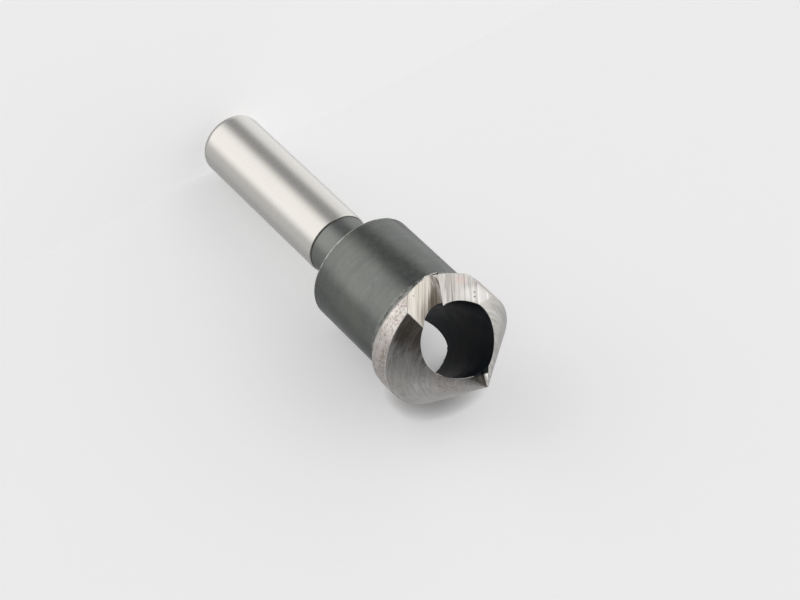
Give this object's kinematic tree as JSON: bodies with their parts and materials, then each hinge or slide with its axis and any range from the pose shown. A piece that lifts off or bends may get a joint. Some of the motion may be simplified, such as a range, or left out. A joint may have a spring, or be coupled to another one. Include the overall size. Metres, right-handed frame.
{
  "type": "countersink bit",
  "caption": "Cross-hole countersink bit with a ground round shank, undercut neck, dark body and a spiral-relieved cone with a slanted chip hole, for chamfering and deburring holes",
  "frame": {"origin": "centre of the flat end face of the shank", "axes": "+Z along the tool axis from the shank to the cutting tip, the slanted hole lies in the Y-Z plane and opens on the cone towards -Y, +X completes the right-handed frame"},
  "size_m": [0.0158, 0.0153, 0.0524],
  "materials": {
    "tool_steel": "ground bright shank and cutting head, dark oxidised body and neck"
  },
  "bodies": {
    "root": {"countersink_bit": "tool_steel"}
  },
  "joints": []
}
